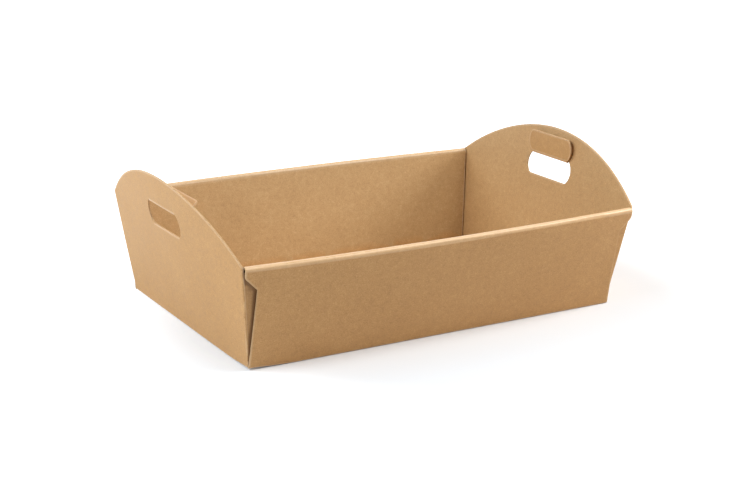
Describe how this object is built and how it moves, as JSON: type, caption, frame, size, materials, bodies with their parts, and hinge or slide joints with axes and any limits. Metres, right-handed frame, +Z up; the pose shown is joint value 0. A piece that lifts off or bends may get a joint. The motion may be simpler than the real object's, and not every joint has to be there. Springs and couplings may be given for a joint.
{
  "type": "cardboard tray",
  "caption": "Open tray folded from one sheet of kraft card: rolled double long walls, arched end panels, and hand holes whose flaps stay on.",
  "frame": {"origin": "middle of the underside of the base", "axes": "+X along the rolled long walls, towards the right end panel; +Y towards the back long wall; +Z up"},
  "size_m": [0.4602, 0.319, 0.1519],
  "materials": {
    "kraft_card": "uncoated brown kraft paper faces, matt"
  },
  "bodies": {
    "tray": {"tray": "kraft_card"},
    "left_flap": {"left_handle_flap": "kraft_card"},
    "right_flap": {"right_handle_flap": "kraft_card"}
  },
  "joints": [
    {"name": "left_flap_crease", "type": "hinge", "parent": "tray", "child": "left_flap", "pos_m": [-0.22223, 0, 0.12209], "axis": [0, -1, 0], "range_deg": [-105, 70]},
    {"name": "right_flap_crease", "type": "hinge", "parent": "tray", "child": "right_flap", "pos_m": [0.22223, 0, 0.12209], "axis": [0, 1, 0], "range_deg": [-169, 6]}
  ]
}
